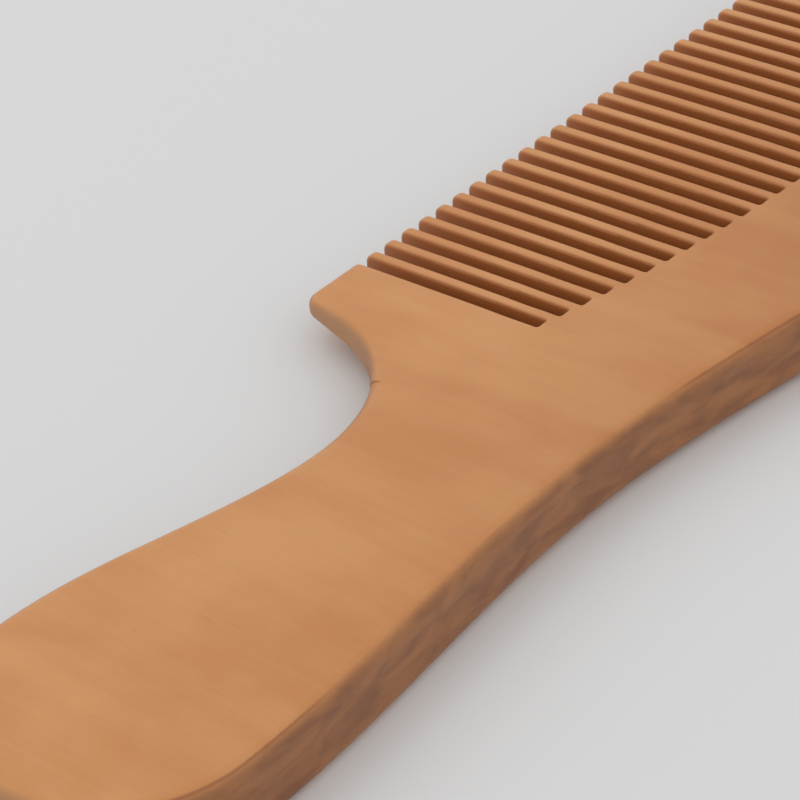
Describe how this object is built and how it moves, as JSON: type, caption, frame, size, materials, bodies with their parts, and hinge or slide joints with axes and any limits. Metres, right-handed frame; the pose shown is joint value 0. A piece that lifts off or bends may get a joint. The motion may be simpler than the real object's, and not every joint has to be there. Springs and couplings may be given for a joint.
{
  "type": "wooden comb with handle",
  "caption": "Handled wooden hair comb: rounded grip, finger hollow, arched back, thick end guards and a straight row of tapered teeth sawn from one board.",
  "frame": {"origin": "middle of the comb's outline on the underside, where the grip lies on a table", "axes": "+X along the comb from the grip towards the free end of the head, +Y the way the teeth point, +Z through the board's thickness"},
  "size_m": [0.1788, 0.0462, 0.008],
  "materials": {
    "wood": "fine-sanded, lightly oiled fruitwood with a soft satin sheen, grain running along the teeth"
  },
  "bodies": {
    "root": {"handle": "wood", "spine": "wood", "rear_guard": "wood", "front_guard": "wood", "tooth_01": "wood", "tooth_02": "wood", "tooth_03": "wood", "tooth_04": "wood", "tooth_05": "wood", "tooth_06": "wood", "tooth_07": "wood", "tooth_08": "wood", "tooth_09": "wood", "tooth_10": "wood", "tooth_11": "wood", "tooth_12": "wood", "tooth_13": "wood", "tooth_14": "wood", "tooth_15": "wood", "tooth_16": "wood", "tooth_17": "wood", "tooth_18": "wood", "tooth_19": "wood", "tooth_20": "wood", "tooth_21": "wood", "tooth_22": "wood", "tooth_23": "wood", "tooth_24": "wood", "tooth_25": "wood", "tooth_26": "wood", "tooth_27": "wood", "tooth_28": "wood", "tooth_29": "wood", "tooth_30": "wood", "tooth_31": "wood", "tooth_32": "wood"}
  },
  "joints": []
}
